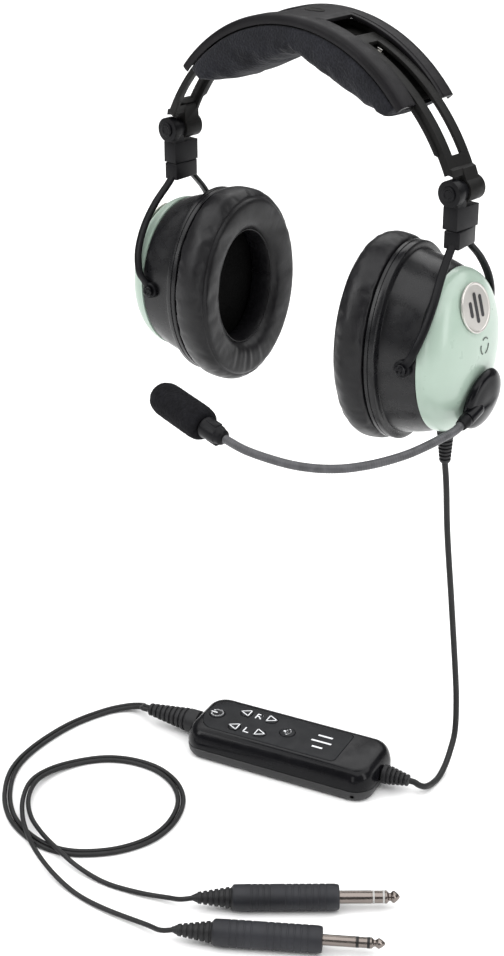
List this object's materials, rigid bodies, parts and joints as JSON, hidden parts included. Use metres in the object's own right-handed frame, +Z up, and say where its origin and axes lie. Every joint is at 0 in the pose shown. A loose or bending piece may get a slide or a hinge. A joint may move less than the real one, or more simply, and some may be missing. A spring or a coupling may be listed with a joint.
{
  "type": "aviation headset",
  "caption": "Folding over-ear headset with padded headband, leather ear seals, flexible boom microphone, and a corded control module ending in two long plugs.",
  "frame": {"origin": "the lowest point of the head pad's middle notch, where the band rests on the crown of the head", "axes": "+Z up through the crown, the wearer looks along -Y, the wearer's left ear is at +X"},
  "size_m": [0.2818, 0.2553, 0.3962],
  "materials": {
    "cover_plastic": "satin black with a slight brown cast",
    "liner_rubber": "matt",
    "pad_fabric": "fine charcoal knit over foam",
    "slider_plastic": "satin black",
    "satin_black": "satin black moulded plastic",
    "bright_metal": "bright nickel",
    "dome_plastic": "pale mint green, softly glossy",
    "badge_metal": "silver foil disc",
    "inner_parts": "hidden electronics",
    "seal_leather": "soft semi-matt leatherette with stitched seams",
    "gloss_black": "polished black",
    "boom_sleeve": "dark grey ribbed sleeve",
    "muff_foam": "open black foam",
    "boot_rubber": "matt black",
    "cord_rubber": "matt black jacket",
    "module_plastic": "semi-gloss black",
    "keypad_film": "smooth black film with pale symbols",
    "cell_sleeve": "grey sleeve",
    "plug_plastic": "charcoal ribbed moulding"
  },
  "bodies": {
    "headband": {"headband_cover": "cover_plastic", "headband_liner": "liner_rubber", "head_pad": "pad_fabric", "crown_insert": "liner_rubber"},
    "left_arm": {"left_slider": "slider_plastic"},
    "left_knuckle": {"left_hinge_block": "satin_black", "left_hinge_pin": "satin_black"},
    "left_fork": {"left_yoke": "satin_black", "left_pivot_screw_front": "bright_metal", "left_pivot_screw_rear": "bright_metal"},
    "left_cup": {"left_ear_shell": "satin_black", "left_dome": "dome_plastic", "left_badge": "badge_metal", "left_baffle": "satin_black", "left_speaker": "inner_parts", "left_ear_seal": "seal_leather", "left_circuit_board": "inner_parts"},
    "right_arm": {"right_slider": "slider_plastic"},
    "right_knuckle": {"right_hinge_block": "satin_black", "right_hinge_pin": "satin_black"},
    "right_fork": {"right_yoke": "satin_black", "right_pivot_screw_front": "bright_metal", "right_pivot_screw_rear": "bright_metal"},
    "right_cup": {"right_ear_shell": "satin_black", "right_dome": "dome_plastic", "right_badge": "badge_metal", "right_baffle": "satin_black", "right_speaker": "inner_parts", "right_ear_seal": "seal_leather", "right_circuit_board": "inner_parts"},
    "boom": {"boom_bracket": "gloss_black", "boom_collar": "satin_black", "boom_tube": "boom_sleeve"},
    "mic": {"mic_bracket": "satin_black", "mic_capsule": "satin_black", "mic_muff": "muff_foam"},
    "cable_boot": {"cup_cable_boot": "boot_rubber"},
    "lead": {"lead_cord": "cord_rubber", "module_top": "module_plastic", "module_bottom": "module_plastic", "keypad": "keypad_film", "module_board": "inner_parts", "battery_front": "cell_sleeve", "battery_rear": "cell_sleeve", "module_inlet_boot": "boot_rubber", "module_outlet_boot": "boot_rubber", "phones_cord": "cord_rubber", "mic_cord": "cord_rubber", "phones_plug_body": "plug_plastic", "phones_plug_contact": "bright_metal", "mic_plug_body": "plug_plastic", "mic_plug_contact": "bright_metal"},
    "power_key": {"power_button": "keypad_film"},
    "right_up_key": {"right_up_button": "keypad_film"},
    "right_down_key": {"right_down_button": "keypad_film"},
    "left_up_key": {"left_up_button": "keypad_film"},
    "left_down_key": {"left_down_button": "keypad_film"},
    "wireless_key": {"wireless_button": "keypad_film"},
    "door": {"battery_door": "module_plastic"}
  },
  "joints": [
    {"name": "left_size", "type": "hinge", "parent": "headband", "child": "left_arm", "pos_m": [-0.00155, 0, -0.0899], "axis": [0, 1, 0], "range_deg": [-14, 0]},
    {"name": "left_fold", "type": "hinge", "parent": "left_arm", "child": "left_knuckle", "pos_m": [0.093, 0, -0.0554], "axis": [0, 1, 0], "range_deg": [0, 60]},
    {"name": "left_swivel", "type": "hinge", "parent": "left_knuckle", "child": "left_fork", "pos_m": [0.093, 0, -0.0734], "axis": [0, 0, 1], "range_deg": [-10, 90]},
    {"name": "left_tilt", "type": "hinge", "parent": "left_fork", "child": "left_cup", "pos_m": [0.0847, -0.00127, -0.136], "axis": [-0.1513, 0.9885, 0], "range_deg": [-10, 10]},
    {"name": "right_size", "type": "hinge", "parent": "headband", "child": "right_arm", "pos_m": [0.00155, 0, -0.0899], "axis": [0, 1, 0], "range_deg": [0, 14]},
    {"name": "right_fold", "type": "hinge", "parent": "right_arm", "child": "right_knuckle", "pos_m": [-0.093, 0, -0.0554], "axis": [0, 1, 0], "range_deg": [-60, 0]},
    {"name": "right_swivel", "type": "hinge", "parent": "right_knuckle", "child": "right_fork", "pos_m": [-0.093, 0, -0.0734], "axis": [0, 0, 1], "range_deg": [-90, 10]},
    {"name": "right_tilt", "type": "hinge", "parent": "right_fork", "child": "right_cup", "pos_m": [-0.08462, 0.00059, -0.136], "axis": [-0.0698, 0.9976, 0], "range_deg": [-10, 10]},
    {"name": "boom_swing", "type": "hinge", "parent": "left_cup", "child": "boom", "pos_m": [0.10621, 0.00303, -0.1583], "axis": [0.9656, 0.16, -0.2049], "range_deg": [-20, 30]},
    {"name": "mic_turn", "type": "hinge", "parent": "boom", "child": "mic", "pos_m": [0.03195, -0.10019, -0.1696], "axis": [-0.9849, 0.1051, 0.1379], "range_deg": [-60, 60]},
    {"name": "boot_flex", "type": "hinge", "parent": "left_cup", "child": "cable_boot", "pos_m": [0.08484, 0.00705, -0.178], "axis": [-0.1513, 0.9885, 0], "range_deg": [-10, 10]},
    {"name": "lead_flex", "type": "hinge", "parent": "cable_boot", "child": "lead", "pos_m": [0.08458, 0.00876, -0.20235], "axis": [0, 1, 0], "range_deg": [-60, 0], "deforming": ["lead_cord"]},
    {"name": "power_press", "type": "slide", "parent": "lead", "child": "power_key", "axis": [0, 0, -1], "range_m": [0, 0.0004], "stiffness_N_per_m": 500},
    {"name": "right_up_press", "type": "slide", "parent": "lead", "child": "right_up_key", "axis": [0, 0, -1], "range_m": [0, 0.0004], "stiffness_N_per_m": 500},
    {"name": "right_down_press", "type": "slide", "parent": "lead", "child": "right_down_key", "axis": [0, 0, -1], "range_m": [0, 0.0004], "stiffness_N_per_m": 500},
    {"name": "left_up_press", "type": "slide", "parent": "lead", "child": "left_up_key", "axis": [0, 0, -1], "range_m": [0, 0.0004], "stiffness_N_per_m": 500},
    {"name": "left_down_press", "type": "slide", "parent": "lead", "child": "left_down_key", "axis": [0, 0, -1], "range_m": [0, 0.0004], "stiffness_N_per_m": 500},
    {"name": "wireless_press", "type": "slide", "parent": "lead", "child": "wireless_key", "axis": [0, 0, -1], "range_m": [0, 0.0004], "stiffness_N_per_m": 500},
    {"name": "battery_door_slide", "type": "slide", "parent": "lead", "child": "door", "axis": [0.9641, 0.2656, 0], "range_m": [0, 0.012]}
  ],
  "couplings": [
    {"joint": "boot_flex", "follows": "left_tilt", "ratio": -1},
    {"joint": "lead_flex", "follows": "left_fold", "ratio": -1}
  ]
}
